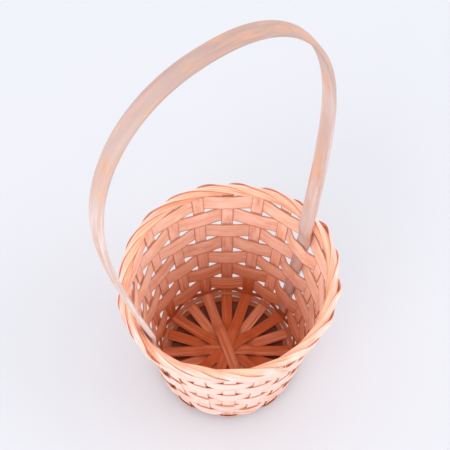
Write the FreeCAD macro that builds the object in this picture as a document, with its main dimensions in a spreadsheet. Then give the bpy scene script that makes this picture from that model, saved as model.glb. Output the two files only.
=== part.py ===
import FreeCAD, Part
import Sketcher
import math
import os

# A small round basket woven from flat bamboo splints, with one bent handle.
#
# Frame: millimetres, +Z up. The origin is on the resting surface, on the axis of the basket.
# The handle stands over the X axis. Stake k of the wall is at k * 18 degrees from +X.
#
# Ten strips lie across the floor, bend up as twenty stakes and fold into the border. Seven
# weavers and two narrow corner rings run round the stakes. The basket stands on the foot ring,
# a flat ring under the strips.

V = FreeCAD.Vector

STRIPS = 10
STAKES = 2 * STRIPS
ROWS = 7
STAKE_TURN = 360.0 / STAKES

SIZES = {
    # floor and wall
    "basket_height": 114.5,      # resting surface to the top of the border
    "floor_radius": 41.0,        # where the strips start to bend up
    "floor_height": 3.0,         # middle of the strips over the resting surface
    "bend_radius": 4.6,          # bend from floor to wall, at the middle of a strip
    "wall_lean": 9.0,            # degrees that the wall leans outwards
    # strips
    "strip_width": 7.8,
    "strip_thick": 0.5,
    "stack_gap": 0.05,           # between strips that cross on the floor
    "cross_margin": 1.5,         # strips lie level this far past the place where they cross
    "tail_width": 5.2,           # folded ends, which are shaved narrower and thinner
    "tail_thick": 0.4,
    # border
    "border_reach": 3.0,         # middle line of the border to the middle of a folded end
    "border_rise": 4.4,          # top of the wall to the middle line of the border
    "fold_height": 3.9,          # how far a stake rises before its end turns along the border
    "tail_lap": 2.05,            # how many stakes a folded end runs past
    "tail_wrap": 205.0,          # degrees that it turns round the border, from the outside
    # weavers
    "weaver_thick": 0.7,
    "row_gap": 1.3,              # between one weaver and the next
    "weave_gap": 0.2,            # between pieces that cross
    "row_foot": 0.5,             # bottom weaver over the top of the bend
    "corner_ring_width": 2.6,
    "corner_ring_slack": 0.3,    # the narrow rings stand this much further off the bend
    # foot ring
    "foot_width": 3.0,
    "foot_inset": 0.6,           # its edge to the start of the bend
    # handle
    "handle_height": 315.0,      # resting surface to the crown, before the lean
    "handle_half": 75.3,         # half of its widest span, at the middle of the bar
    "handle_wide_at": 222.0,     # height of its widest place
    "handle_shoulder": 190.0,    # height where the line of a leg meets its widest upright
    "handle_power": 0.90,        # roundness of the arch, 1 is an ellipse
    "handle_width": 10.6,
    "handle_thick": 3.0,
    "handle_corner": 0.7,        # flat across the bar's broken edges
    "handle_end_width": 7.0,
    "handle_end_thick": 1.6,
    "leg_draw": 2.2,             # how far a leg draws off its stake below the border
    "handle_foot": 11.0,         # height of the ends of the legs
    "handle_stake_gap": 0.45,    # between a leg and the stake behind it
    "handle_side_gap": 0.6,      # between a leg's edges and the weavers that turn round it
    "handle_lean": 6.4,          # degrees that the arch leans towards +Y
    "handle_skew": 0.5,          # degrees that the arch leans towards +X
}

# Values that follow the sizes.
LAYOUT = {
    "stack_step": "Sizes.strip_thick + Sizes.stack_gap",
    "cross_low": f"Sizes.strip_width / 2 / sin({STAKE_TURN}) + Sizes.cross_margin",
    "cross_high": "cross_low + Sizes.cross_margin",
    "star_cross": f"Sizes.strip_width / 2 / sin({STAKE_TURN / 2}) + Sizes.cross_margin",
    "fall_low": "cross_low + 0.7 * (star_cross - cross_low)",
    "fall_high": "cross_high + 0.7 * (star_cross - cross_low)",
    "star_fall": "star_cross + 0.6 * (Sizes.floor_radius - star_cross)",
    "bend_height": "Sizes.floor_height + Sizes.bend_radius",
    "wall_foot_radius": "Sizes.floor_radius + Sizes.bend_radius * cos(Sizes.wall_lean)",
    "wall_foot_height": "bend_height - Sizes.bend_radius * sin(Sizes.wall_lean)",
    "half_out": "Sizes.strip_thick / 2 * cos(Sizes.wall_lean)",
    "half_up": "Sizes.strip_thick / 2 * sin(Sizes.wall_lean)",
    "border_corner": (
        "sqrt((Sizes.border_reach + Sizes.tail_thick / 2) ^ 2 + (Sizes.tail_width / 2) ^ 2)"
    ),
    "border_height": "Sizes.basket_height - border_corner",
    "wall_top": "border_height - Sizes.border_rise",
    "wall_top_radius": (
        "wall_foot_radius + (wall_top - wall_foot_height) * tan(Sizes.wall_lean)"
    ),
    "border_radius": "wall_top_radius",
    "leg_push": (
        "border_corner / cos(Sizes.wall_lean) + (border_height - wall_top) * tan(Sizes.wall_lean)"
        " - Sizes.leg_draw"
    ),
    "row_step": (
        f"(wall_top - wall_foot_height - Sizes.row_foot + Sizes.row_gap) / {ROWS}"
    ),
    "foot_height": "Sizes.floor_height - Sizes.strip_thick / 2 - Sizes.weave_gap",
    "foot_outside": "Sizes.floor_radius - Sizes.foot_inset",
}


def fill_sheet(name, cells, prefix):
    sheet = doc.addObject("Spreadsheet::Sheet", name)
    for row, (alias, content) in enumerate(cells.items(), start=1):
        sheet.set(f"A{row}", alias)
        sheet.set(f"B{row}", f"{prefix}{content}")
        sheet.setAlias(f"B{row}", alias)
    doc.recompute()
    return {alias: float(getattr(sheet, alias)) for alias in cells}


doc = FreeCAD.newDocument("easter_basket")
driving = fill_sheet("Sizes", SIZES, "")
worked_out = fill_sheet("Layout", LAYOUT, "=")
size = {**driving, **worked_out}
lean = math.radians(size["wall_lean"])


# ------------------------------------------------------------------------------- small helpers
def polar(radius, degrees, height):
    turn = math.radians(degrees)
    return V(radius * math.cos(turn), radius * math.sin(turn), height)


def ramp(share):
    """0 up to 0, 1 from 1 on, smooth between."""
    share = min(max(share, 0.0), 1.0)
    return share * share * (3.0 - 2.0 * share)


def wall_radius(height):
    """Radius of the middle of the stakes at a height, over the bend."""
    return size["wall_foot_radius"] + (height - size["wall_foot_height"]) * math.tan(lean)


def leg_share(height):
    """0 at the end of a leg of the handle, 1 from the border up."""
    rise = size["border_height"] - size["handle_foot"]
    return min(max((height - size["handle_foot"]) / rise, 0.0), 1.0)


def leg_thick(height):
    taper = size["handle_thick"] - size["handle_end_thick"]
    return size["handle_end_thick"] + taper * leg_share(height)


def leg_width(height):
    taper = size["handle_width"] - size["handle_end_width"]
    return size["handle_end_width"] + taper * leg_share(height)


def leg_radius(height):
    """Middle of a leg, which lies inside its stake and, inside weaver 0, draws off it a little."""
    stake_face = wall_radius(height) - size["strip_thick"] / 2 / math.cos(lean)
    leaves = size["wall_top"] - size["row_step"] / 2
    clear = size["border_height"] - size["border_corner"]
    drawn = size["leg_draw"] * ramp((height - leaves) / (clear - leaves))
    return stake_face - drawn - size["handle_stake_gap"] - leg_thick(height) / 2


def add_shape(label, shape):
    feature = doc.addObject("Part::Feature", label)
    feature.Label = label
    feature.Shape = shape
    feature.Placement = FreeCAD.Placement()
    return feature


# ----------------------------------------------------------------- outlines bound to the sheets
def measure(terms):
    """A sum written as {alias: factor}: its number and its expression."""
    number = sum(factor * size[alias] for alias, factor in terms.items())
    sheets = {alias: "Sizes" if alias in driving else "Layout" for alias in terms}
    text = " + ".join(f"({factor}) * {sheets[alias]}.{alias}" for alias, factor in terms.items())
    return number, text


def bound_outline(body, role, points, arcs=None):
    """A closed outline on one of the body's own planes, with every point bound to the sheets.

    points holds the two coordinates of each corner as sums. arcs gives, for a side that starts
    at that corner and is an arc, the coordinates of its centre and its radius.
    """
    arcs = arcs or {}
    sketch = body.newObject("Sketcher::SketchObject", body.Name + "_outline")
    plane = [p for p in body.Origin.OriginFeatures if p.Role == role][0]
    sketch.AttachmentSupport = [(plane, "")]
    sketch.MapMode = "FlatFace"
    corners = [V(measure(across)[0], measure(up)[0], 0) for across, up in points]
    for i, start in enumerate(corners):
        end = corners[(i + 1) % len(corners)]
        if i not in arcs:
            sketch.addGeometry(Part.LineSegment(start, end))
            continue
        across, up, radius = arcs[i]
        centre = V(measure(across)[0], measure(up)[0], 0)
        circle = Part.Circle(centre, V(0, 0, 1), measure(radius)[0])
        if (start - centre).cross(end - centre).z < 0:
            start, end = end, start
        first, last = circle.parameter(start), circle.parameter(end)
        last += 2 * math.pi if last < first else 0.0
        sketch.addGeometry(Part.ArcOfCircle(circle, first, last))
    for i, (across, up) in enumerate(points):
        last = (i - 1) % len(points)
        ends_at = end_of(sketch.Geometry[last], corners[i])
        starts_at = end_of(sketch.Geometry[i], corners[i])
        sketch.addConstraint(Sketcher.Constraint("Coincident", last, ends_at, i, starts_at))
        for kind, terms in (("DistanceX", across), ("DistanceY", up)):
            number, text = measure(terms)
            constraint = Sketcher.Constraint(kind, -1, 1, i, starts_at, number)
            index = sketch.addConstraint(constraint)
            sketch.setExpression(f"Constraints[{index}]", text)
    for side, (across, up, radius) in arcs.items():
        number, text = measure(radius)
        index = sketch.addConstraint(Sketcher.Constraint("Radius", side, number))
        sketch.setExpression(f"Constraints[{index}]", text)
    return sketch


def end_of(curve, corner):
    """1 or 2, the sketcher's name for the end of a curve that lies at a corner."""
    return 1 if curve.StartPoint.distanceToPoint(corner) < 1e-6 else 2


# --------------------------------------------------------------------------------------- strips
def stack_level(strip):
    """How many strips this one lies on at the middle of the floor, and the star that it is in."""
    upper_star = 1 - strip % 2
    in_star = (strip // 2 + 2) % (STRIPS // 2)
    return upper_star * STRIPS // 2 + in_star, upper_star


def strip_side(strip, face, hand):
    """Corners of one face of a strip, from its middle to the top of the wall.

    face is -1 for the underside and outside, 1 for the upper side and inside. hand is 1 for the
    end towards +X and -1 for the other.
    """
    level, star = stack_level(strip)
    cross, fall = ("cross_high", "fall_high") if star else ("cross_low", "fall_low")
    half = {"strip_thick": face * 0.5}
    run = [
        ({cross: hand}, {"floor_height": 1, "stack_step": level, **half}),
        ({fall: hand}, {"floor_height": 1, "stack_step": star, **half}),
        ({"star_cross": hand}, {"floor_height": 1, "stack_step": star, **half}),
        ({"star_fall": hand}, {"floor_height": 1, **half}),
        ({"floor_radius": hand}, {"floor_height": 1, **half}),
        (
            {"wall_foot_radius": hand, "half_out": -hand * face},
            {"wall_foot_height": 1, "half_up": face},
        ),
        (
            {"wall_top_radius": hand, "half_out": -hand * face},
            {"wall_top": 1, "half_up": face},
        ),
    ]
    return run


def strip_core(strip):
    """Floor and two walls of one strip, along the X axis."""
    under_right = strip_side(strip, -1, 1)
    over_right = strip_side(strip, 1, 1)
    under_left = strip_side(strip, -1, -1)
    over_left = strip_side(strip, 1, -1)
    points = under_right + over_right[::-1] + over_left + under_left[::-1]
    bend, length = 4, len(under_right)
    right = ({"floor_radius": 1}, {"bend_height": 1})
    left = ({"floor_radius": -1}, {"bend_height": 1})
    outside = {"bend_radius": 1, "strip_thick": 0.5}
    inside = {"bend_radius": 1, "strip_thick": -0.5}
    arcs = {
        bend: (*right, outside),
        2 * length - bend - 2: (*right, inside),
        2 * length + bend: (*left, inside),
        4 * length - bend - 2: (*left, outside),
    }
    body = doc.addObject("PartDesign::Body", f"strip_{strip:02d}_core")
    sketch = bound_outline(body, "XZ_Plane", points, arcs)
    pad = body.newObject("PartDesign::Pad", f"strip_{strip:02d}_pad")
    pad.Profile = sketch
    pad.SideType = "Symmetric"
    pad.setExpression("Length", "Sizes.strip_width")
    return body


def border_push(degrees):
    """How far the border bulges outwards at an angle, round the legs of the handle."""
    from_leg = abs((degrees + 90.0) % 180.0 - 90.0)
    return size["leg_push"] * ramp((3.2 - from_leg / STAKE_TURN) / 2)


def border_surface(run):
    """Radius, height and outward slope of the folded ends' way, at a run from the wall's top."""
    rise, step = size["border_rise"], size["border_radius"] - size["wall_top_radius"]
    out = step + size["border_reach"]
    climb = math.hypot(rise, out)
    if run < climb:
        share = run / climb
        radius = size["wall_top_radius"] + out * ramp(share)
        slope = out * 6.0 * max(share, 0.0) * (1.0 - share)
        steep = math.hypot(slope, rise)
        return radius, size["wall_top"] + rise * share, slope / steep, rise / steep
    turn = (run - climb) / size["border_reach"]
    radius = size["border_radius"] + size["border_reach"] * math.cos(turn)
    height = size["border_height"] + size["border_reach"] * math.sin(turn)
    return radius, height, -math.sin(turn), math.cos(turn)


def tail_route():
    """Places of a folded end as (along, run, heading): up from the wall, then along the border.

    along is measured round the border and run up its face. The line of the long stretch passes
    through the corner of the fold.
    """
    spacing = 2 * math.pi * size["border_radius"] / STAKES
    climb = math.hypot(
        size["border_rise"],
        size["border_radius"] - size["wall_top_radius"] + size["border_reach"],
    )
    last_run = climb + size["border_reach"] * math.radians(size["tail_wrap"])
    last_along = size["tail_lap"] * spacing
    rise = (last_run - size["fold_height"]) / last_along
    fold_end = 1.8 * size["fold_height"]
    route = []
    for i in range(-1, 7):
        share = i / 6
        along = fold_end * share * share
        run = 2 * share * (1 - share) * size["fold_height"]
        run += share * share * (size["fold_height"] + fold_end * rise)
        climb_part = (1 - share) * size["fold_height"] + share * fold_end * rise
        heading = math.atan2(climb_part, max(share, 0.0) * fold_end)
        route.append((along if i > 0 else 0.0, run, heading))
    steps = 10
    for i in range(1, steps + 1):
        along = fold_end + (last_along - fold_end) * i / steps
        route.append((along, size["fold_height"] + along * rise, math.atan(rise)))
    return route


def tail(name, azimuth):
    """One folded end: a loft along its route, narrower than the strip that it grows out of."""
    route = tail_route()
    sections = []
    for i, (along, run, heading) in enumerate(route):
        radius, height, out, up = border_surface(run)
        turn = azimuth - math.degrees(along / size["border_radius"])
        risen = (height - size["wall_top"]) / size["border_rise"]
        middle = polar(radius + border_push(turn) * ramp(risen), turn, height)
        outward = polar(1.0, turn, 0.0)
        clockwise = polar(1.0, turn - 90.0, 0.0)
        climbing = outward * out + V(0, 0, up)
        facing = outward * up - V(0, 0, out)
        across = climbing * math.cos(heading) - clockwise * math.sin(heading)
        narrowing = min(i / 7, 1.0)
        width = 0.9 * size["strip_width"] * (1 - narrowing) + size["tail_width"] * narrowing
        tip = 1.0 if i < len(route) - 1 else 0.5
        across = across * (width * tip / 2)
        facing = facing * (size["tail_thick"] / 2)
        corners = [
            middle + across + facing,
            middle - across + facing,
            middle - across - facing,
            middle + across - facing,
        ]
        sections.append(Part.makePolygon(corners + corners[:1]))
    return add_shape(name, Part.makeLoft(sections, True))


def strip(number):
    """One strip: its floor and walls, with both ends folded into the border."""
    label = f"strip_{number:02d}"
    turn = FreeCAD.Rotation(V(0, 0, 1), number * STAKE_TURN)
    core = strip_core(number)
    core.Placement = FreeCAD.Placement(V(), turn)
    ends = [
        tail(f"{label}_tail_a", number * STAKE_TURN),
        tail(f"{label}_tail_b", number * STAKE_TURN + 180.0),
    ]
    whole = doc.addObject("Part::MultiFuse", label)
    whole.Label = label
    whole.Shapes = [core] + ends
    return whole


# -------------------------------------------------------------------------------------- weavers
def wall_station(height):
    """Radius, height and outward direction of the stakes' middle at a height of the wall."""
    return wall_radius(height), height, math.cos(lean), -math.sin(lean)


def bend_station(run):
    """The same on the bend, at a run from the floor's edge."""
    turn = run / size["bend_radius"]
    radius = size["floor_radius"] + size["bend_radius"] * math.sin(turn)
    height = size["bend_height"] - size["bend_radius"] * math.cos(turn)
    return radius, height, math.sin(turn), -math.cos(turn)


def stake_offsets(row, station, slack, round_leg):
    """For each stake, how far off its middle a weaver passes it, and half its level run."""
    radius, height = station[:2]
    clear = size["strip_thick"] / 2 + size["weave_gap"] + size["weaver_thick"] / 2 + slack
    rise = size["strip_width"] ** 2 / (8 * radius)
    offsets = []
    for stake in range(STAKES):
        outside = (row + stake) % 2 == 0
        offset = clear + rise if outside else -clear - rise
        level = size["strip_width"] / 2 + size["weave_gap"] + slack
        if round_leg and stake % STRIPS == 0 and not outside:
            leg_face = leg_radius(height) - leg_thick(height) / 2
            offset = leg_face - size["handle_side_gap"] - size["weaver_thick"] / 2 - radius
            level = leg_width(height) / 2 + size["handle_side_gap"]
        offsets.append((offset, level))
    return offsets


def weave_offset(offsets, degrees, radius):
    """How far off the stakes' middle a weaver is at an angle: level at stakes, smooth between."""
    stake = int(degrees // STAKE_TURN) % STAKES
    spacing = math.radians(STAKE_TURN) * radius
    past = math.radians(degrees % STAKE_TURN) * radius
    here, here_level = offsets[stake]
    there, there_level = offsets[(stake + 1) % STAKES]
    share = (past - here_level) / (spacing - here_level - there_level)
    return here + (there - here) * ramp(share)


def woven_ring(label, row, low, high, slack, round_leg):
    """A closed ring between two stations, outside one stake and inside the next."""
    per_stake = 10
    turns = [i * STAKE_TURN / per_stake for i in range(STAKES * per_stake)]
    stations = [float(i) for i in range(len(turns) + 1)]

    def edge(station, face):
        radius, height, out, up = station
        offsets = stake_offsets(row, station, slack, round_leg)
        points = []
        for turn in turns:
            off = weave_offset(offsets, turn, radius) + face * size["weaver_thick"] / 2
            points.append(polar(radius + off * out, turn, height + off * up))
        curve = Part.BSplineCurve()
        curve.interpolate(Points=points, Parameters=stations, PeriodicFlag=True)
        return curve.toShape()

    loop = [edge(low, 1), edge(high, 1), edge(high, -1), edge(low, -1)]
    faces = [Part.makeRuledSurface(a, b) for a, b in zip(loop, loop[1:] + loop[:1])]
    solid = Part.makeSolid(Part.makeShell(faces))
    if solid.Volume < 0:
        solid.reverse()
    return add_shape(label, solid)


def weaver(row):
    high = size["wall_top"] - row * size["row_step"]
    low = high - size["row_step"] + size["row_gap"]
    return woven_ring(f"weaver_{row}", row, wall_station(low), wall_station(high), 0.0, True)


def corner_ring(label, place):
    """Narrow ring on the bend. Place 0 is the lower one, and they share the bend evenly."""
    bend_run = size["bend_radius"] * (math.pi / 2 - lean)
    middle = bend_run * (0.25 + 0.5 * place)
    low = bend_station(middle - size["corner_ring_width"] / 2)
    high = bend_station(middle + size["corner_ring_width"] / 2)
    return woven_ring(label, ROWS + 1 - place, low, high, size["corner_ring_slack"], False)


# ------------------------------------------------------------------------------------ foot ring
def foot_ring():
    """A flat ring on the ground, under the strips, turned from a bound section."""
    body = doc.addObject("PartDesign::Body", "foot_ring")
    body.Label = "foot_ring"
    inside = {"foot_outside": 1, "foot_width": -1}
    outside = {"foot_outside": 1}
    ground, top = {"foot_height": 0}, {"foot_height": 1}
    points = [(inside, ground), (outside, ground), (outside, top), (inside, top)]
    ring = body.newObject("PartDesign::Revolution", "foot_ring_turn")
    ring.Profile = bound_outline(body, "XZ_Plane", points)
    ring.ReferenceAxis = (ring.Profile[0], ["V_Axis"])
    ring.Angle = 360.0
    return body


# --------------------------------------------------------------------------------------- handle
def handle_line():
    """Middle line of the bar over the X axis, as (across, height), from foot to foot."""
    border, wide = size["border_height"], size["handle_wide_at"]
    legs = 8
    leg = []
    for i in range(legs):
        height = size["handle_foot"] + (border - size["handle_foot"]) * i / legs
        leg.append((leg_radius(height), height))
    rises = 6
    for i in range(rises):
        share = i / rises
        start, bend, end = (1 - share) ** 2, 2 * share * (1 - share), share * share
        across = start * leg_radius(border) + (bend + end) * size["handle_half"]
        leg.append((across, start * border + bend * size["handle_shoulder"] + end * wide))
    arch = []
    steps = 18
    for i in range(steps + 1):
        turn = math.pi * i / steps
        across = math.copysign(abs(math.cos(turn)) ** size["handle_power"], math.cos(turn))
        up = abs(math.sin(turn)) ** size["handle_power"]
        arch.append((
            size["handle_half"] * across,
            wide + (size["handle_height"] - size["handle_thick"] / 2 - wide) * up,
        ))
    return leg + arch + [(-across, height) for across, height in reversed(leg)]


def handle():
    """The bent bar: a loft of flat sections with broken edges."""
    line = []
    for across, height in handle_line():
        over = max(height - size["border_height"], 0.0)
        skew = over * math.tan(math.radians(size["handle_skew"]))
        tilt = over * math.tan(math.radians(size["handle_lean"]))
        line.append(V(across + skew, tilt, height))
    sections = []
    for i, middle in enumerate(line):
        along = line[min(i + 1, len(line) - 1)] - line[max(i - 1, 0)]
        along.normalize()
        flat = V(0, 1, 0)
        flat = flat - along * flat.dot(along)
        flat.normalize()
        facing = along.cross(flat)
        half_width = leg_width(middle.z) / 2
        half_thick = leg_thick(middle.z) / 2
        cut = size["handle_corner"]
        corners = []
        for side, face in ((1, 1), (-1, 1), (-1, -1), (1, -1)):
            wide = (half_width * side, (half_thick - cut) * face)
            deep = ((half_width - cut) * side, half_thick * face)
            pair = (wide, deep) if side == face else (deep, wide)
            corners += [middle + flat * w + facing * t for w, t in pair]
        sections.append(Part.makePolygon(corners + corners[:1]))
    return add_shape("handle", Part.makeLoft(sections, True))


# ------------------------------------------------------------------------------ build and write
nodes = [strip(number) for number in range(STRIPS)]
nodes += [weaver(row) for row in range(ROWS)]
nodes += [corner_ring("corner_ring_upper", 1), corner_ring("corner_ring_lower", 0)]
nodes += [foot_ring(), handle()]
doc.recompute()

for item in doc.Objects:
    if "Invalid" in item.State or "Error" in item.State:
        raise RuntimeError(f"{item.Label} failed: {item.State}")
for node in nodes:
    if node.Shape.isNull() or not node.Shape.isValid():
        raise RuntimeError(f"{node.Label} has no sound shape")
    if len(node.Shape.Solids) != 1:
        raise RuntimeError(f"{node.Label} holds {len(node.Shape.Solids)} solids, not 1")

os.makedirs("parts", exist_ok=True)
for node in nodes:
    node.Shape.exportStep(f"parts/{node.Label}.step")
    print(node.Label, round(node.Shape.Volume, 1), node.Shape.BoundBox)
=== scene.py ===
import math
import random

import bmesh
import bpy
from mathutils import Matrix, Vector, noise


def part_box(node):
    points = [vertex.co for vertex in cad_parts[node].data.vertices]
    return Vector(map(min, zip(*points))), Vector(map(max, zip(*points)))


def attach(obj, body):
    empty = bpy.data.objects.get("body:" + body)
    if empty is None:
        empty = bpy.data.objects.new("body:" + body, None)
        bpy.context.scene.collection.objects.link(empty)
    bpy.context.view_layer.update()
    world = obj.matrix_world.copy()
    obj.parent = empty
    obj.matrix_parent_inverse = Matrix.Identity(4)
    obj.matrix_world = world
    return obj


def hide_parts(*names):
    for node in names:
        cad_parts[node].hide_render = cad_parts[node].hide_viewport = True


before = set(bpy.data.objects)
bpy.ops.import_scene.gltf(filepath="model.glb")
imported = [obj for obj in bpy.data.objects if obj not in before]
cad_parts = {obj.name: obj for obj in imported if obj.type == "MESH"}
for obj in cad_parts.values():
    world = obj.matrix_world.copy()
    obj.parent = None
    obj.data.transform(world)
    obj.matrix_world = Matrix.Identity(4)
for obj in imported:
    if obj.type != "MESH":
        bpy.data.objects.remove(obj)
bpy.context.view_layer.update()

MM = 0.001

# ------------------------------------------------------------------------------ measures, metres
STRIPS = 10
STAKES = 20
ROWS = 7
TURN = 2 * math.pi / STAKES
LEAN = math.radians(9.0)

STRIP_THICK = 0.5 * MM
STRIP_WIDTH = 7.5 * MM
FLOOR_NARROW = 0.93                  # share of that width that a strip has on the floor
WEAVER_THICK = 0.7 * MM
STACK_STEP = 0.55 * MM               # from one strip to the next where they cross on the floor
STACK_TOP = 12.5 * MM                # radius where the middle stack starts to sink
STACK_FOOT = 25.0 * MM               # radius where the outer, lower stack starts to sink
STAKE_BOW = 0.15 * MM
EDGE_ROUND = 0.16 * MM
GRAIN_APART = 613.0                  # millimetres of grain from one splint's to the next
GRAIN_ROUND = 3.8                    # millimetres of grain for each radian round the handle

FLOOR_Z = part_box("strip_07")[0].z + STRIP_THICK / 2
FLOOR_RADIUS = 41.0 * MM
BEND_RADIUS = 4.6 * MM
BEND_Z = FLOOR_Z + BEND_RADIUS
WALL_FOOT_RADIUS = FLOOR_RADIUS + BEND_RADIUS * math.cos(LEAN)
WALL_FOOT_Z = BEND_Z - BEND_RADIUS * math.sin(LEAN)

BASKET_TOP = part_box("strip_05")[1].z
LOOP = 2.8 * MM                      # the border's loop, from its middle line to a folded end
WALL_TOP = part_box("weaver_0")[1].z
BORDER_SPARE = 0.8 * MM              # room over the border's loop for the outermost fold
LEG_PUSH = 2.6 * MM                  # how far the border bulges outwards round a leg
BORDER_Z = BASKET_TOP - LOOP - BORDER_SPARE

# Folded ends: how far they run, in stakes, how wide they are, and how much they hug the loop.
TAIL_LAP = 3.9
TAIL_WIDTH = 5.4 * MM
TAIL_WRAP = 0.5
TAIL_TURN = 212                      # degrees round the loop, from the outside
TAIL_POINT = 7.0 * MM                # length of the narrowing end
TAIL_LIFT = 0.75 * MM                # how far a folded end stands off the loop at its start
TAIL_SINK = 0.38 * MM                # and how much lower it lies with each stake it passes
FOLD_HEIGHT = 3.4 * MM
FOLD_ALONG = 2.4 * FOLD_HEIGHT
FOLD_BULGE = 0.5 * MM
BULGE_AT = 0.42                      # where that bulge is, in stakes
BULGE_SPAN = 0.24
# Folds that stand more open than the others, by the number of their stake.
OPEN_FOLDS = {15: 2.2 * MM, 17: 1.2 * MM, 18: 1.8 * MM, 0: 1.4 * MM, 11: 1.2 * MM}

# Weaving: how far a weaver's middle stands off the stakes' middle, and how rows are packed.
WEAVE_OUTSIDE = 0.72 * MM
WEAVE_INSIDE_TIGHT = -0.85 * MM
WEAVE_INSIDE_LOOSE = -1.5 * MM
WEAVE_PAST_LEG = 0.8 * MM
ROW_TIGHT = 1.09
ROW_LOOSE = 0.93
LAP_TURN = 1.7 * TURN                # how far the two ends of a weaver lie over each other
LAP_STEP = 0.55 * WEAVER_THICK       # how far each of those ends steps off the row's line
RING_OFFSET = 1.1 * MM
RING_HALF = 1.5 * MM
FOOT_RING_WIDTH = 3.0 * MM

HANDLE_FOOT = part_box("handle")[0].z
HANDLE_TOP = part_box("handle")[1].z
HANDLE_WIDTH = 10.6 * MM
HANDLE_THICK = 3.0 * MM
LEG_END_WIDTH = 7.0 * MM
LEG_END_THICK = 1.6 * MM
LEG_STAKE_GAP = 0.2 * MM
LEG_DRAW = 2.2 * MM                  # how far a leg draws off its stake below the border
LEG_LEAVES_Z = WALL_TOP - 7.2 * MM
LEG_CLEAR_Z = 107.0 * MM
ARCH_HALF = 75.3 * MM
ARCH_WIDE_Z = 222.0 * MM
ARCH_SHOULDER_Z = 190.0 * MM         # where the line of a leg meets the widest upright
ARCH_POWER = 0.90                    # roundness of the arch, 1 is an ellipse
ARCH_SPARE = 0.4 * MM                # room over the crown for the bar's uneven face
ARCH_LEAN = math.radians(6.4)
ARCH_SKEW = math.radians(0.5)
LEG_BORDER_Z = 110.0 * MM            # the bar has its full section from here on
BAR_SQUARENESS = 0.42
RIDGE_DEPTH = 0.10
FINE_RIDGE_DEPTH = 0.05


# --------------------------------------------------------------------------------- small helpers
def ramp(share):
    """0 up to 0, 1 from 1 on, smooth between."""
    share = min(max(share, 0.0), 1.0)
    return share * share * (3.0 - 2.0 * share)


def mix(a, b, share):
    return a + (b - a) * share


def polar(radius, angle, height):
    return Vector((radius * math.cos(angle), radius * math.sin(angle), height))


def wall_radius(height):
    return WALL_FOOT_RADIUS + (height - WALL_FOOT_Z) * math.tan(LEAN)


def wobble(seed, place, size=1.0):
    """Smooth noise from -1 to 1 along a line."""
    return noise.noise(Vector((place / size, seed * 7.31, seed * 1.7)))


def border_push(angle):
    """How far the border bulges outwards at an angle, round the legs of the handle."""
    from_leg = abs((math.degrees(angle) + 90.0) % 180.0 - 90.0)
    return LEG_PUSH * ramp((2.4 - from_leg / math.degrees(TURN)) / 1.6)


# --------------------------------------------------------------------------------- mesh builders
def new_object(name, bm):
    mesh = bpy.data.meshes.new(name)
    bm.to_mesh(mesh)
    bm.free()
    piece = bpy.data.objects.new(name, mesh)
    bpy.context.scene.collection.objects.link(piece)
    return piece


def lay_band(name, stations, thick, across=6, closed=False, seed=0):
    """A splint: a flat grid laid along stations, then thickened and its edges rounded.

    A station is a function of the share across, from -1 to 1, that gives a point. That share
    is kept as the attribute "side", and "tone" is one random level for the whole piece.
    """
    bm = bmesh.new()
    count = len(stations)
    bmesh.ops.create_grid(bm, x_segments=count - 1, y_segments=across, size=0.5)
    uv = bm.loops.layers.uv.new("grain")
    kept_side = bm.verts.layers.float.new("side")
    lengths = [0.0]
    for before, after in zip(stations, stations[1:]):
        lengths.append(lengths[-1] + (after(0.0) - before(0.0)).length)
    places = {}
    for vertex in bm.verts:
        index = round((vertex.co.x + 0.5) * (count - 1))
        share = vertex.co.y * 2.0
        places[vertex.index] = (index, share)
    for face in bm.faces:
        face.smooth = True
        for loop in face.loops:
            index, share = places[loop.vert.index]
            off = (stations[index](share) - stations[index](0.0)).length
            off = math.copysign(off, share)
            loop[uv].uv = (lengths[index] / MM + GRAIN_APART * seed, off / MM)
    for vertex in bm.verts:
        index, share = places[vertex.index]
        vertex.co = stations[index](share)
        vertex[kept_side] = share
    if closed:
        bmesh.ops.remove_doubles(bm, verts=bm.verts, dist=1e-6)
    piece = new_object(name, bm)
    tone = piece.data.attributes.new("tone", "FLOAT", "POINT")
    random.seed(seed)
    level = random.random()
    tone.data.foreach_set("value", [level] * len(piece.data.vertices))
    solid = piece.modifiers.new("thickness", "SOLIDIFY")
    solid.thickness = thick
    solid.offset = 0.0
    edge = piece.modifiers.new("worn edge", "BEVEL")
    edge.width = min(EDGE_ROUND, thick * 0.3)
    edge.segments = 2
    edge.limit_method = "ANGLE"
    edge.angle_limit = math.radians(50)
    return piece


# ---------------------------------------------------------------------------------------- strips
def stack_level(strip):
    """A strip's place in the stack at the middle of the floor, and in the one further out."""
    upper = 1 - strip % 2
    return upper * STRIPS // 2 + (strip // 2 + 2) % (STRIPS // 2), upper


def floor_height(strip, radius):
    """Height of a strip over the floor: stacked in the middle, level at the edge."""
    level, star = stack_level(strip)
    inner = ramp((radius - STACK_TOP) / (9.0 * MM))
    outer = ramp((radius - STACK_FOOT) / (10.0 * MM))
    high = mix(level, star, inner) * (1 - outer)
    return FLOOR_Z + STACK_STEP * high


def stake_bow(stake, height):
    """How far a stake is pushed outwards by the weavers that pass inside it."""
    row = (WALL_TOP - height) / ((WALL_TOP - WALL_FOOT_Z) / ROWS) - 0.5
    if row < -0.5:
        return 0.0
    sign = -1.0 if stake % 2 == 0 else 1.0
    return STAKE_BOW * sign * math.cos(math.pi * row) * ramp(row + 1.0)


def border_place(run, lift):
    """Radius and height on the border at a run up its face from the wall's top."""
    rise = BORDER_Z - WALL_TOP
    climb = math.hypot(rise, LOOP)
    if run < climb:
        share = run / climb
        radius = wall_radius(WALL_TOP) + LOOP * ramp(share)
        return radius + lift, WALL_TOP + rise * share
    turn = (run - climb) / LOOP
    radius = wall_radius(WALL_TOP) + (LOOP + lift) * math.cos(turn)
    return radius, BORDER_Z + (LOOP + lift) * math.sin(turn)


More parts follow.
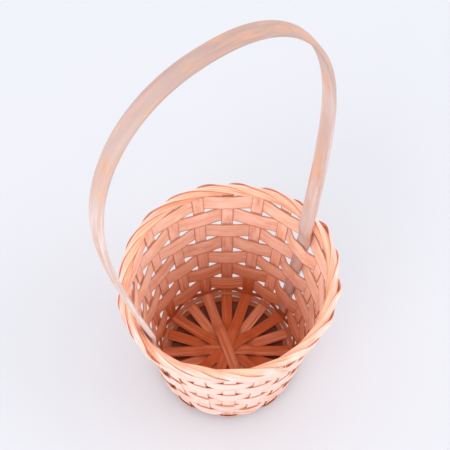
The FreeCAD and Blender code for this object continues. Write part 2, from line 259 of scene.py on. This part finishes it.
def border_point(angle, along, run, lift):
    """A point on the border, along it from an angle and up its face from the wall's top."""
    radius, height = border_place(run, lift)
    turned = angle - along / wall_radius(WALL_TOP)
    risen = ramp((height - WALL_TOP) / (BORDER_Z - WALL_TOP))
    return polar(radius + border_push(turned) * risen, turned, height)


def tail_stations(stake, seed):
    """Stations of a folded end, from the top of the wall on."""
    angle = stake * TURN
    spacing = TURN * wall_radius(WALL_TOP)
    climb = math.hypot(BORDER_Z - WALL_TOP, LOOP)
    last_run = climb + LOOP * math.radians(TAIL_TURN + 14 * wobble(seed, 3.0))
    last_along = (TAIL_LAP + 0.25 * wobble(seed, 11.0)) * spacing
    bulge = FOLD_BULGE + 0.9 * MM * wobble(seed, 7.0) + OPEN_FOLDS.get(stake, 0.0)

    def line(along):
        share = along / last_along
        sway = 0.35 * MM * wobble(seed, along, 11 * MM)
        return FOLD_HEIGHT + (last_run - FOLD_HEIGHT) * (1 - (1 - share) ** 1.25) + sway

    route = []
    end = line(FOLD_ALONG)
    fold_steps = 10
    for i in range(1, fold_steps + 1):
        share = i / fold_steps
        run = 2.3 * share * (1 - share) * FOLD_HEIGHT + share * share * end
        route.append((FOLD_ALONG * share * share, run))
    steps = 52
    for i in range(1, steps + 1):
        along = mix(FOLD_ALONG, last_along, i / steps)
        route.append((along, line(along)))
    stations = []
    for i, (along, run) in enumerate(route):
        before = route[i - 1] if i else (0.0, 0.0)
        after = route[min(i + 1, len(route) - 1)]
        heading = math.atan2(after[1] - before[1], after[0] - before[0])
        stakes_on = along / spacing
        lift = TAIL_LIFT - TAIL_SINK * stakes_on
        lift += bulge * math.exp(-((stakes_on - BULGE_AT) / BULGE_SPAN) ** 2)
        lift *= ramp(i / 9)
        tilt = 0.35 * MM * ramp(stakes_on / 0.8)
        width = mix(STRIP_WIDTH, TAIL_WIDTH, ramp(i / 12))
        width *= 1 + 0.08 * wobble(seed + 2, along, 12 * MM)
        near_end = (last_along - along) / TAIL_POINT
        half = width / 2 * (0.5 + 0.5 * min(near_end, 1.0))
        step = 0.5 * MM

        def station(share, along=along, run=run, heading=heading, lift=lift, half=half, tilt=tilt):
            side = share * half
            ahead = -side * math.sin(heading)
            up = side * math.cos(heading)
            wrapped = border_point(angle, along + ahead, run + up, lift + tilt * share)
            middle = border_point(angle, along, run, lift)
            step_ahead = -step * math.sin(heading)
            step_up = step * math.cos(heading)
            beside = border_point(angle, along + step_ahead, run + step_up, lift)
            flat = middle + (beside - middle).normalized() * side
            return flat.lerp(wrapped, TAIL_WRAP)

        stations.append(station)
    return stations


def stake_stations(strip, hand, seed):
    """Stations of half a strip, from the middle of the floor to the top of the wall."""
    stake = strip if hand > 0 else strip + STRIPS
    angle = stake * TURN
    outward = polar(1.0, angle, 0.0)
    sideways = polar(1.0, angle + math.pi / 2, 0.0)
    places = []
    floor_steps, bend_steps, wall_steps = 27, 8, 62
    for i in range(1, floor_steps + 1):
        radius = FLOOR_RADIUS * i / floor_steps
        places.append((radius, floor_height(strip, radius)))
    for i in range(1, bend_steps + 1):
        turn = (math.pi / 2 - LEAN) * i / bend_steps
        radius = FLOOR_RADIUS + BEND_RADIUS * math.sin(turn)
        places.append((radius, BEND_Z - BEND_RADIUS * math.cos(turn)))
    for i in range(1, wall_steps + 1):
        height = mix(WALL_FOOT_Z, WALL_TOP, i / wall_steps)
        places.append((wall_radius(height) + stake_bow(stake, height), height))
    stations = []
    for radius, height in places:
        length = radius + height
        drift = 0.35 * MM * wobble(seed, length, 30 * MM) * ramp(length / (20 * MM))
        half = STRIP_WIDTH / 2 * (1 + 0.03 * wobble(seed + 5, length, 14 * MM))
        half *= mix(FLOOR_NARROW, 1.0, ramp((radius - 34 * MM) / (10 * MM)))
        twist = 0.12 * MM * wobble(seed + 9, length, 22 * MM) * ramp(length / (50 * MM))
        middle = outward * radius + sideways * drift + Vector((0, 0, height))

        def station(share, middle=middle, half=half, twist=twist):
            return middle + sideways * (share * half) + outward * (twist * share)

        stations.append(station)
    return stations


def turned_over(stations):
    """The same stations, seen from the other end."""
    return [lambda share, s=s: s(-share) for s in reversed(stations)]


def centre_station(strip):
    """The station at the middle of the floor, where the two halves of a strip meet."""
    angle = strip * TURN
    sideways = polar(1.0, angle + math.pi / 2, 0.0)
    height = floor_height(strip, 0.0)

    def station(share):
        return Vector((0, 0, height)) + sideways * (share * FLOOR_NARROW * STRIP_WIDTH / 2)

    return station


def make_strip(strip):
    """One strip from folded end to folded end: border, wall, floor, wall and border."""
    halves = []
    for hand in (1, -1):
        seed = strip * 2 + (hand < 0) + 1
        stake = strip if hand > 0 else strip + STRIPS
        up = stake_stations(strip, hand, seed)
        halves.append(up + tail_stations(stake, seed))
    # Both halves run outwards from the middle, so the second is turned over to run towards it.
    stations = turned_over(halves[1]) + [centre_station(strip)] + halves[0]
    return lay_band(f"strip_{strip:02d}_splint", stations, STRIP_THICK, seed=strip + 1)


# --------------------------------------------------------------------------------------- weavers
def leg_share(height):
    """0 at the foot of a leg, 1 from the border on."""
    return min(max((height - HANDLE_FOOT) / (LEG_BORDER_Z - HANDLE_FOOT), 0.0), 1.0)


def leg_thick(height):
    return mix(LEG_END_THICK, HANDLE_THICK, leg_share(height))


def leg_radius(height):
    """Middle of a leg, which lies inside its stake and draws off it below the border."""
    stake_face = wall_radius(height) - STRIP_THICK / 2
    drawn = LEG_DRAW * ramp((height - LEG_LEAVES_Z) / (LEG_CLEAR_Z - LEG_LEAVES_Z))
    return stake_face - LEG_STAKE_GAP - drawn - leg_thick(height) / 2


def looseness(angle):
    """The rows are packed tightly at the front and lie looser at the back."""
    return ramp((math.sin(angle) + 0.45) / 0.8)


def weave_offset(row, angle, height):
    """How far a weaver lies off the middle of the stakes."""
    place = (angle / TURN) % STAKES
    stake = int(place)
    share = place - stake
    radius = wall_radius(height)
    levels, margins = [], []
    for each in (stake, (stake + 1) % STAKES):
        outside = (row + each) % 2 == 0
        inside_level = mix(WEAVE_INSIDE_TIGHT, WEAVE_INSIDE_LOOSE, looseness(angle))
        level = WEAVE_OUTSIDE if outside else inside_level
        margin = 0.14
        if each % STRIPS == 0 and not outside:
            leg_face = leg_radius(height) - leg_thick(height) / 2
            level = leg_face - radius - WEAVE_PAST_LEG
            margin = 0.27
        levels.append(level)
        margins.append(margin)
    moved = (share - margins[0]) / (1 - margins[0] - margins[1])
    return mix(levels[0], levels[1], ramp(moved))


def make_weaver(row):
    """One splint round the stakes, whose ends lie one over the other for nearly two stakes."""
    low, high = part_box(f"weaver_{row}")
    seed = 40 + row
    height = (low.z + high.z) / 2
    tall = (high.z - low.z) / 2
    start = (6.55 + 3 * (row * 7 % STAKES)) * TURN
    steps = 430
    stations = []
    for i in range(steps + 1):
        turned = (2 * math.pi + LAP_TURN) * i / steps
        angle = start + turned
        step_out = -LAP_STEP * (1 - ramp((turned - LAP_TURN * 0.9) / (0.6 * TURN)))
        step_out += LAP_STEP * ramp((turned - 2 * math.pi + 0.6 * TURN) / (0.6 * TURN))
        rise = 0.45 * MM * wobble(seed, angle % (2 * math.pi), 0.55)
        grow = 1 + 0.035 * wobble(seed + 3, angle % (2 * math.pi), 0.4)
        grow *= mix(ROW_TIGHT, ROW_LOOSE, looseness(angle))

        def station(share, angle=angle, step_out=step_out, rise=rise, grow=grow):
            at = height + rise + share * tall * grow
            off = weave_offset(row, angle, at) + step_out
            radius = wall_radius(at) + off * math.cos(LEAN)
            return polar(radius, angle, at - off * math.sin(LEAN))

        stations.append(station)
    return lay_band(f"weaver_{row}_splint", stations, WEAVER_THICK, across=8, seed=seed)


def make_corner_ring(name, row, place):
    """Narrow splint woven round the bend, place 0 at its lower part and 1 at its upper part."""
    seed = 60 + row
    run = BEND_RADIUS * (math.pi / 2 - LEAN) * (0.25 + 0.5 * place)
    steps = 400
    stations = []
    for i in range(steps + 1):
        angle = 2 * math.pi * i / steps
        sway = 0.25 * MM * wobble(seed, math.cos(angle), 0.5)

        def station(share, angle=angle, sway=sway):
            turn = (run + sway + share * RING_HALF) / BEND_RADIUS
            radius = FLOOR_RADIUS + BEND_RADIUS * math.sin(turn)
            at = BEND_Z - BEND_RADIUS * math.cos(turn)
            spot = (angle / TURN) % STAKES
            stake = int(spot)
            moved = ramp((spot - stake - 0.2) / 0.6)
            here = 1.0 if (row + stake) % 2 == 0 else -1.0
            off = mix(here, -here, moved) * RING_OFFSET
            return polar(radius + off * math.sin(turn), angle, at - off * math.cos(turn))

        stations.append(station)
    return lay_band(name, stations, WEAVER_THICK, across=3, closed=True, seed=seed)


def make_foot_ring():
    """Flat ring on the ground."""
    low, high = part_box("foot_ring")
    outside = high.x
    inside = outside - FOOT_RING_WIDTH
    middle, half = (outside + inside) / 2, (outside - inside) / 2
    thick = high.z - low.z
    steps = 160
    stations = []
    for i in range(steps + 1):
        angle = 2 * math.pi * i / steps
        stations.append(lambda share, angle=angle: polar(middle - share * half, angle, thick / 2))
    return lay_band("foot_ring_splint", stations, thick, across=2, closed=True, seed=71)


# ---------------------------------------------------------------------------------------- handle
def handle_route():
    """Middle line of the bar, from foot to foot."""
    leg = []
    leg_steps, rise_steps, arch_steps = 10, 8, 24
    for i in range(leg_steps):
        height = mix(HANDLE_FOOT, LEG_BORDER_Z, i / leg_steps)
        leg.append((leg_radius(height), height))
    for i in range(rise_steps):
        share = i / rise_steps
        start, bend, end = (1 - share) ** 2, 2 * share * (1 - share), share * share
        across = start * leg_radius(LEG_BORDER_Z) + (bend + end) * ARCH_HALF
        height = start * LEG_BORDER_Z + bend * ARCH_SHOULDER_Z + end * ARCH_WIDE_Z
        leg.append((across, height))
    top = HANDLE_TOP - HANDLE_THICK / 2 - ARCH_SPARE
    arch = []
    for i in range(arch_steps + 1):
        turn = math.pi * i / arch_steps
        across = math.copysign(abs(math.cos(turn)) ** ARCH_POWER, math.cos(turn))
        up = abs(math.sin(turn)) ** ARCH_POWER
        arch.append((ARCH_HALF * across, mix(ARCH_WIDE_Z, top, up)))
    line = leg + arch + [(-across, height) for across, height in reversed(leg)]
    points = []
    for across, height in line:
        over = max(height - LEG_BORDER_Z, 0.0)
        skewed = across + over * math.tan(ARCH_SKEW)
        points.append(Vector((skewed, over * math.tan(ARCH_LEAN), height)))
    return points


def smooth_line(points, count):
    """Points evenly spaced along a smooth line through the given ones."""
    dense = []
    for i in range(len(points) - 1):
        a = points[max(i - 1, 0)]
        b, c = points[i], points[i + 1]
        d = points[min(i + 2, len(points) - 1)]
        for j in range(12):
            t = j / 12
            dense.append(0.5 * (
                2 * b + (c - a) * t + (2 * a - 5 * b + 4 * c - d) * t * t
                + (3 * b - a - 3 * c + d) * t * t * t
            ))
    dense.append(points[-1])
    lengths = [0.0]
    for a, b in zip(dense, dense[1:]):
        lengths.append(lengths[-1] + (b - a).length)
    even = []
    j = 0
    for i in range(count):
        want = lengths[-1] * i / (count - 1)
        while j < len(dense) - 2 and lengths[j + 1] < want:
            j += 1
        share = (want - lengths[j]) / max(lengths[j + 1] - lengths[j], 1e-9)
        even.append(dense[j].lerp(dense[j + 1], min(share, 1.0)))
    return even, lengths[-1]


def make_handle():
    """A split bamboo bar: a grid wrapped round a rounded flat section with long ridges."""
    count, around = 360, 56
    line, length = smooth_line(handle_route(), count)
    bm = bmesh.new()
    bmesh.ops.create_grid(bm, x_segments=count - 1, y_segments=around, size=0.5)
    places = {}
    for vertex in bm.verts:
        index = round((vertex.co.x + 0.5) * (count - 1))
        places[vertex.index] = (index, (0.5 - vertex.co.y) * 2 * math.pi)
    uv = bm.loops.layers.uv.new("grain")
    for face in bm.faces:
        face.smooth = True
        for loop in face.loops:
            index, turn = places[loop.vert.index]
            loop[uv].uv = (length * index / (count - 1) / MM, turn * GRAIN_ROUND)
    for vertex in bm.verts:
        index, turn = places[vertex.index]
        middle = line[index]
        along = line[min(index + 1, count - 1)] - line[max(index - 1, 0)]
        along.normalize()
        flat = Vector((0, 1, 0))
        flat = (flat - along * flat.dot(along)).normalized()
        facing = along.cross(flat)
        half_width = mix(LEG_END_WIDTH, HANDLE_WIDTH, leg_share(middle.z)) / 2
        half_thick = leg_thick(middle.z) / 2
        place = length * index / (count - 1)
        half_width *= 1 + 0.025 * wobble(3, place, 26 * MM)
        half_thick *= 1 + 0.05 * wobble(4, place, 34 * MM)
        cosine, sine = math.cos(turn), math.sin(turn)
        wide = math.copysign(abs(cosine) ** BAR_SQUARENESS, cosine) * half_width
        deep = math.copysign(abs(sine) ** BAR_SQUARENESS, sine) * half_thick
        lane = noise.noise(Vector((wide / MM * 0.9, math.copysign(3.0, sine), place / MM * 0.006)))
        fine = noise.noise(Vector((wide / MM * 2.3, math.copysign(8.0, sine), place / MM * 0.01)))
        deep *= 1 + (RIDGE_DEPTH * lane + FINE_RIDGE_DEPTH * fine) * abs(sine)
        vertex.co = middle + flat * wide + facing * deep
    bmesh.ops.remove_doubles(bm, verts=bm.verts, dist=1e-7)
    rims = [edge for edge in bm.edges if edge.is_boundary]
    bmesh.ops.holes_fill(bm, edges=rims, sides=0)
    bmesh.ops.recalc_face_normals(bm, faces=bm.faces)
    return new_object("handle_bar", bm)


# ------------------------------------------------------------------------------------- materials
def node(tree, kind, inputs=None, **settings):
    """A new shader node, its inputs linked where a socket is given and set where a value is."""
    made = tree.nodes.new(kind)
    for key, value in settings.items():
        setattr(made, key, value)
    for key, value in (inputs or {}).items():
        if isinstance(value, bpy.types.NodeSocket):
            tree.links.new(value, made.inputs[key])
        else:
            made.inputs[key].default_value = value
    return made


def calc(tree, operation, a, b=None, clamp=False):
    """One step of arithmetic on the socket a. The other value is a socket or a number."""
    made = node(tree, "ShaderNodeMath", {0: a}, operation=operation, use_clamp=clamp)
    if b is not None:
        if isinstance(b, bpy.types.NodeSocket):
            tree.links.new(b, made.inputs[1])
        else:
            made.inputs[1].default_value = b
    return made.outputs[0]


def add(tree, a, b, clamp=False):
    return calc(tree, "ADD", a, b, clamp)


def multiply(tree, a, b, clamp=False):
    return calc(tree, "MULTIPLY", a, b, clamp)


def spread(tree, value, low, high, to_low=0.0, to_high=1.0):
    """The value's place from low to high, held at the ends and scaled to the new range."""
    made = node(tree, "ShaderNodeMapRange", {
        "Value": value, "From Min": low, "From Max": high, "To Min": to_low, "To Max": to_high,
    })
    return made.outputs[0]


def blend(tree, share, a, b):
    """From colour a to colour b."""
    made = node(tree, "ShaderNodeMix", data_type="RGBA")
    for socket, value in zip((made.inputs[0], made.inputs[6], made.inputs[7]), (share, a, b)):
        if isinstance(value, bpy.types.NodeSocket):
            tree.links.new(value, socket)
        else:
            socket.default_value = value
    return made.outputs[2]


def object_place(tree):
    return node(tree, "ShaderNodeTexCoord").outputs["Object"]


def grain_noise(tree, uv, along, across, detail, offset):
    """Noise stretched along the splint: along and across are in cycles for each millimetre."""
    moved = node(tree, "ShaderNodeMapping", {
        "Vector": uv, "Scale": (along, across, 1.0), "Location": (offset, offset * 0.37, offset),
    })
    made = node(tree, "ShaderNodeTexNoise", {
        "Vector": moved.outputs[0], "Scale": 1.0, "Detail": detail, "Roughness": 0.6,
    })
    return made.outputs["Fac"]


def close_group(tree, made):
    """Gives a group one number output for each name, and links it."""
    for label in made:
        tree.interface.new_socket(name=label, in_out="OUTPUT", socket_type="NodeSocketFloat")
    out = tree.nodes.new("NodeGroupOutput")
    for label, value in made.items():
        tree.links.new(value, out.inputs[label])


def grain_group():
    """Long grain of split bamboo: streaks, blotches, grooves, and a height for bumps."""
    tree = bpy.data.node_groups.new("splint_grain", "ShaderNodeTree")
    uv = node(tree, "ShaderNodeUVMap", uv_map="grain").outputs[0]
    fine = grain_noise(tree, uv, 0.03, 0.85, 3.0, 3.0)
    broad = grain_noise(tree, uv, 0.02, 0.33, 2.0, 17.0)
    blotch = grain_noise(tree, uv, 0.07, 0.16, 3.0, 31.0)
    lines = grain_noise(tree, uv, 0.008, 0.5, 1.0, 47.0)
    from_line = calc(tree, "ABSOLUTE", calc(tree, "SUBTRACT", lines, 0.5))
    grooves = spread(tree, from_line, 0.0, 0.035)
    height = add(tree, multiply(tree, fine, 0.5), multiply(tree, grooves, 0.6))
    close_group(tree, {
        "Fine": fine, "Broad": broad, "Blotch": blotch, "Groove": grooves, "Height": height,
    })
    return tree


def wash_group():
    """How much white paint a place took, with a pale tint by height and painted shade near the
    floor.

    Mask is for outward faces that stand proud. Another share pales the colour, more the higher
    it is on the wall and less on the border. The last share is painted shade: 1 near the floor,
    where the deep cup is shaded.
    """
    tree = bpy.data.node_groups.new("white_wash_and_painted_shade", "ShaderNodeTree")
    normal = node(tree, "ShaderNodeNewGeometry").outputs["True Normal"]
    xyz = node(tree, "ShaderNodeSeparateXYZ", {0: object_place(tree)}).outputs
    flat = node(tree, "ShaderNodeCombineXYZ", {0: xyz[0], 1: xyz[1], 2: 0.0}).outputs[0]
    outward = node(tree, "ShaderNodeVectorMath", {0: flat}, operation="NORMALIZE").outputs[0]
    radius = node(tree, "ShaderNodeVectorMath", {0: flat}, operation="LENGTH").outputs["Value"]
    facing = node(tree, "ShaderNodeVectorMath", {0: normal, 1: outward}, operation="DOT_PRODUCT")
    up = node(tree, "ShaderNodeSeparateXYZ", {0: normal}).outputs[2]
    aimed = add(tree, facing.outputs["Value"], multiply(tree, up, 0.05))
    aimed = spread(tree, aimed, 0.15, 0.85)
    wall_foot = WALL_FOOT_RADIUS - WALL_FOOT_Z * math.tan(LEAN)
    wall = add(tree, multiply(tree, xyz[2], math.tan(LEAN)), wall_foot)
    proud = spread(tree, calc(tree, "SUBTRACT", radius, wall), -2.4 * MM, -0.9 * MM)
    rim = spread(tree, xyz[2], WALL_TOP, WALL_TOP + 3 * MM)
    proud = calc(tree, "MAXIMUM", proud, rim)
    border_share = spread(tree, xyz[2], WALL_TOP, WALL_TOP + 3 * MM, 1.0, 0.3)
    close_group(tree, {
        "Mask": multiply(tree, aimed, proud),
        "Upper_tint": multiply(tree, spread(tree, xyz[2], 10 * MM, 60 * MM), border_share),
        "Depth": spread(tree, xyz[2], 8 * MM, 40 * MM, 1.0, 0.0),
    })
    return tree


GRAIN = grain_group()
WASH_AND_SHADE = wash_group()
BUMP_DEPTH = 0.3 * MM

PALE_STREAK = (1.0, 0.62, 0.46, 1.0)
DARK_STREAK = (0.62, 0.19, 0.07, 1.0)
GROOVE_BROWN = (0.52, 0.15, 0.06, 1.0)
PALE_UPPER_TINT = (1.0, 0.67, 0.54, 1.0)
THIN_WHITE = (0.90, 0.56, 0.46, 1.0)
THICK_WHITE = (0.90, 0.76, 0.73, 1.0)
# Dark line along each splint's edges: partly the cut edges' own colour, partly painted shade of
# the gaps beside them.
CUT_EDGE_AND_SHADE = (0.46, 0.13, 0.05, 1.0)

BAR_THIN_WHITE = (0.54, 0.40, 0.36, 1.0)
BAR_THICK_WHITE = (0.74, 0.63, 0.60, 1.0)
BAR_STREAK = (0.62, 0.36, 0.28, 1.0)
# Painted shade laid over the white on the bar's crown and right side.
BAR_PAINTED_SHADE = (0.42, 0.27, 0.225, 1.0)
BAR_STAIN_DARK = (0.48, 0.22, 0.10, 1.0)
BAR_STAIN_LIGHT = (0.82, 0.48, 0.32, 1.0)


def use_group(tree, group):
    made = tree.nodes.new("ShaderNodeGroup")
    made.node_tree = group
    return made.outputs


def finish_surface(tree, colour, rough, height):
    """Links the look's colour, sheen and bumps to the surface."""
    bump = node(tree, "ShaderNodeBump", {
        "Height": height, "Strength": 0.55, "Distance": BUMP_DEPTH,
    })
    surface = tree.nodes["Principled BSDF"]
    tree.links.new(colour, surface.inputs["Base Color"])
    tree.links.new(rough, surface.inputs["Roughness"])
    tree.links.new(bump.outputs[0], surface.inputs["Normal"])
    surface.inputs["Specular IOR Level"].default_value = 0.32


def splint_material(name, deep, light, wash_share):
    """Dyed splint, with white brushed thinly over its outward faces."""
    made = bpy.data.materials.new(name)
    made.use_nodes = True
    tree = made.node_tree
    grain = use_group(tree, GRAIN)
    wash = use_group(tree, WASH_AND_SHADE)
    tone = node(tree, "ShaderNodeAttribute", attribute_name="tone").outputs["Fac"]
    side = node(tree, "ShaderNodeAttribute", attribute_name="side").outputs["Fac"]
    edge = spread(tree, calc(tree, "ABSOLUTE", side), 0.82, 0.96)
    level = add(tree, multiply(tree, grain["Broad"], 0.9), multiply(tree, tone, 0.6))
    level = spread(tree, level, 0.35, 0.95)
    # Painted shade: the colour is darkened towards the floor, for the shade in the deep cup.
    level = calc(tree, "SUBTRACT", level, multiply(tree, wash["Depth"], 0.7))
    level = add(tree, level, 0.25, clamp=True)
    colour = blend(tree, level, deep, light)

    streak = spread(tree, grain["Fine"], 0.52, 0.64, 0.0, 0.5)
    colour = blend(tree, multiply(tree, streak, level), colour, PALE_STREAK)
    dark_streak = spread(tree, grain["Fine"], 0.47, 0.36, 0.0, 0.75)
    colour = blend(tree, dark_streak, colour, DARK_STREAK)
    groove = spread(tree, grain["Groove"], 0.9, 0.1, 0.0, 0.6)
    colour = blend(tree, groove, colour, GROOVE_BROWN)
    # Paler towards the top of the wall and less on the border, in blotches.
    upper_tint_share = multiply(tree, wash["Upper_tint"], spread(tree, grain["Blotch"], 0.38, 0.62, 0.4, 1.0))
    colour = blend(tree, upper_tint_share, colour, PALE_UPPER_TINT)

    strokes = multiply(tree, grain["Fine"], 0.75)
    brushed = add(tree, strokes, multiply(tree, grain["Blotch"], 1.05))
    brushed = spread(tree, brushed, 0.66, 1.08, 0.15, 1.0)
    share = multiply(tree, multiply(tree, wash["Mask"], brushed), wash_share, clamp=True)
    colour = blend(tree, share, colour, blend(tree, grain["Broad"], THIN_WHITE, THICK_WHITE))
    bare = spread(tree, share, 0.0, 0.8, 0.75, 0.2)
    # Dark edge lines, weaker where white covers them: partly the cut edges' colour, partly painted
    # shade of the gaps.
    colour = blend(tree, multiply(tree, edge, bare), colour, CUT_EDGE_AND_SHADE)

    rough = spread(tree, grain["Fine"], 0.3, 0.7, 0.5, 0.72)
    finish_surface(tree, colour, rough, grain["Height"])
    return made


def handle_material():
    """Bent bamboo, white brushed over it, with stains where the bare wood shows, and painted shade
    that browns the crown and the right side.
    """
    made = bpy.data.materials.new("handle_bamboo_brushed")
    made.use_nodes = True
    tree = made.node_tree
    grain = use_group(tree, GRAIN)
    cover = spread(tree, grain["Broad"], 0.3, 0.7)
    white = blend(tree, cover, BAR_THIN_WHITE, BAR_THICK_WHITE)
    xyz = node(tree, "ShaderNodeSeparateXYZ", {0: object_place(tree)}).outputs
    # Painted shade: the white is browned over the crown and towards the right side.
    crown_painted_shade = spread(tree, xyz[2], 225 * MM, 312 * MM, 0.0, 0.7)
    right_side_painted_shade = spread(tree, xyz[0], -50 * MM, 60 * MM, 0.0, 0.3)
    white = blend(tree, add(tree, crown_painted_shade, right_side_painted_shade, clamp=True), white, BAR_PAINTED_SHADE)
    streaks = spread(tree, grain["Fine"], 0.50, 0.38, 0.0, 0.5)
    colour = blend(tree, streaks, white, BAR_STREAK)

    uv = node(tree, "ShaderNodeUVMap", uv_map="grain").outputs[0]
    stains = grain_noise(tree, uv, 0.055, 0.45, 4.0, 5.0)
    patches = grain_noise(tree, uv, 0.012, 0.1, 2.0, 9.0)
    bare = add(tree, multiply(tree, stains, 0.8), multiply(tree, patches, 0.7))
    bare = spread(tree, bare, 0.74, 0.86, 0.0, 0.7)
    wood = blend(tree, grain["Fine"], BAR_STAIN_DARK, BAR_STAIN_LIGHT)
    colour = blend(tree, bare, colour, wood)

    rough = spread(tree, grain["Fine"], 0.3, 0.7, 0.45, 0.7)
    finish_surface(tree, colour, rough, grain["Height"])
    return made


STRIP_LOOK = splint_material(
    "strip_splint_dyed", deep=(0.60, 0.13, 0.03, 1.0), light=(0.96, 0.46, 0.28, 1.0),
    wash_share=0.95,
)
WEAVER_LOOK = splint_material(
    "weaver_splint_dyed", deep=(0.66, 0.17, 0.05, 1.0), light=(1.0, 0.54, 0.32, 1.0),
    wash_share=1.0,
)
RING_LOOK = splint_material(
    "ring_splint_dyed", deep=(0.38, 0.09, 0.03, 1.0), light=(0.70, 0.26, 0.12, 1.0),
    wash_share=0.9,
)
HANDLE_LOOK = handle_material()


# ------------------------------------------------------------------------------------- the basket
def settle(piece, node_name, look):
    """Gives a piece its look and its place in the frame."""
    piece.data.materials.append(look)
    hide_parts(node_name)
    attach(piece, "root")


for strip in range(STRIPS):
    settle(make_strip(strip), f"strip_{strip:02d}", STRIP_LOOK)
for row in range(ROWS):
    settle(make_weaver(row), f"weaver_{row}", WEAVER_LOOK)
upper = make_corner_ring("corner_ring_upper_splint", ROWS, 1)
settle(upper, "corner_ring_upper", RING_LOOK)
lower = make_corner_ring("corner_ring_lower_splint", ROWS + 1, 0)
settle(lower, "corner_ring_lower", RING_LOOK)
settle(make_foot_ring(), "foot_ring", RING_LOOK)
settle(make_handle(), "handle", HANDLE_LOOK)


# ------------------------------------------------------------------------- floor, light and camera
FLOOR_PALE = (0.62, 0.625, 0.65, 1.0)
FLOOR_SHADE = (0.24, 0.08, 0.05, 1.0)


def make_floor():
    """Pale ground. It is brown under the basket, for the deep shade between the strips."""
    bm = bmesh.new()
    bmesh.ops.create_circle(bm, cap_ends=True, segments=96, radius=4.0)
    floor = new_object("studio_floor", bm)
    floor.location.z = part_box("foot_ring")[0].z - 0.05 * MM
    look = bpy.data.materials.new("studio_floor_white")
    look.use_nodes = True
    tree = look.node_tree
    surface = tree.nodes["Principled BSDF"]
    radius = node(tree, "ShaderNodeVectorMath", {0: object_place(tree)}, operation="LENGTH")
    under = spread(tree, radius.outputs["Value"], 43 * MM, 39 * MM)
    colour = blend(tree, under, FLOOR_PALE, FLOOR_SHADE)
    tree.links.new(colour, surface.inputs["Base Color"])
    surface.inputs["Roughness"].default_value = 0.75
    surface.inputs["Specular IOR Level"].default_value = 0.2
    floor.data.materials.append(look)


LAMP_AIM = Vector((0.0, 0.0, 0.08))
LAMP_COLOUR = (1.0, 0.99, 0.98)


def make_light(name, place, power):
    """A soft round lamp, aimed at the basket's wall."""
    data = bpy.data.lights.new(name, "AREA")
    data.shape = "DISK"
    data.size = 1.0
    data.energy = power
    data.color = LAMP_COLOUR
    lamp = bpy.data.objects.new(name, data)
    lamp.location = place
    lamp.rotation_euler = (LAMP_AIM - Vector(place)).to_track_quat("-Z", "Y").to_euler()
    bpy.context.scene.collection.objects.link(lamp)


SKY_COLOUR = (0.95, 0.96, 1.0, 1.0)
SKY_EDGE = 1.80                      # strength at the horizon
SKY_TOP = 1.12                       # strength overhead


def make_world():
    """Soft light from all round, stronger near the horizon than overhead."""
    world = bpy.data.worlds.new("studio")
    world.use_nodes = True
    tree = world.node_tree
    sky = tree.nodes["Background"]
    sky.inputs["Color"].default_value = SKY_COLOUR
    way = node(tree, "ShaderNodeTexCoord").outputs["Generated"]
    height = node(tree, "ShaderNodeSeparateXYZ", {0: way}).outputs[2]
    tree.links.new(spread(tree, height, 0.0, 1.0, SKY_EDGE, SKY_TOP), sky.inputs["Strength"])
    bpy.context.scene.world = world


def make_camera():
    """High over the basket's front, with a long lens and a slight roll."""
    place = Vector((-224.7, -291.3, 857.3)) * MM
    aim = Vector((56.4, 78.7, 0.0)) * MM
    roll = 0.013
    ahead = (aim - place).normalized()
    right = ahead.cross(Vector((0, 0, 1))).normalized()
    up = right.cross(ahead)
    side = right * math.cos(roll) + up * math.sin(roll)
    top = up * math.cos(roll) - right * math.sin(roll)
    data = bpy.data.cameras.new("main_view")
    data.lens = 112.0
    data.sensor_width = 36.0
    data.clip_start = 0.01
    data.clip_end = 20.0
    camera = bpy.data.objects.new("main_view", data)
    turned = Matrix((side, top, -ahead)).transposed().to_4x4()
    camera.matrix_world = Matrix.Translation(place) @ turned
    bpy.context.scene.collection.objects.link(camera)
    bpy.context.scene.camera = camera


make_floor()
make_world()
make_light("soft_left", (-1.3, -0.5, 0.9), 6.0)
make_light("soft_right", (0.9, -0.8, 1.0), 3.5)
make_camera()
bpy.context.scene.view_settings.view_transform = "Standard"
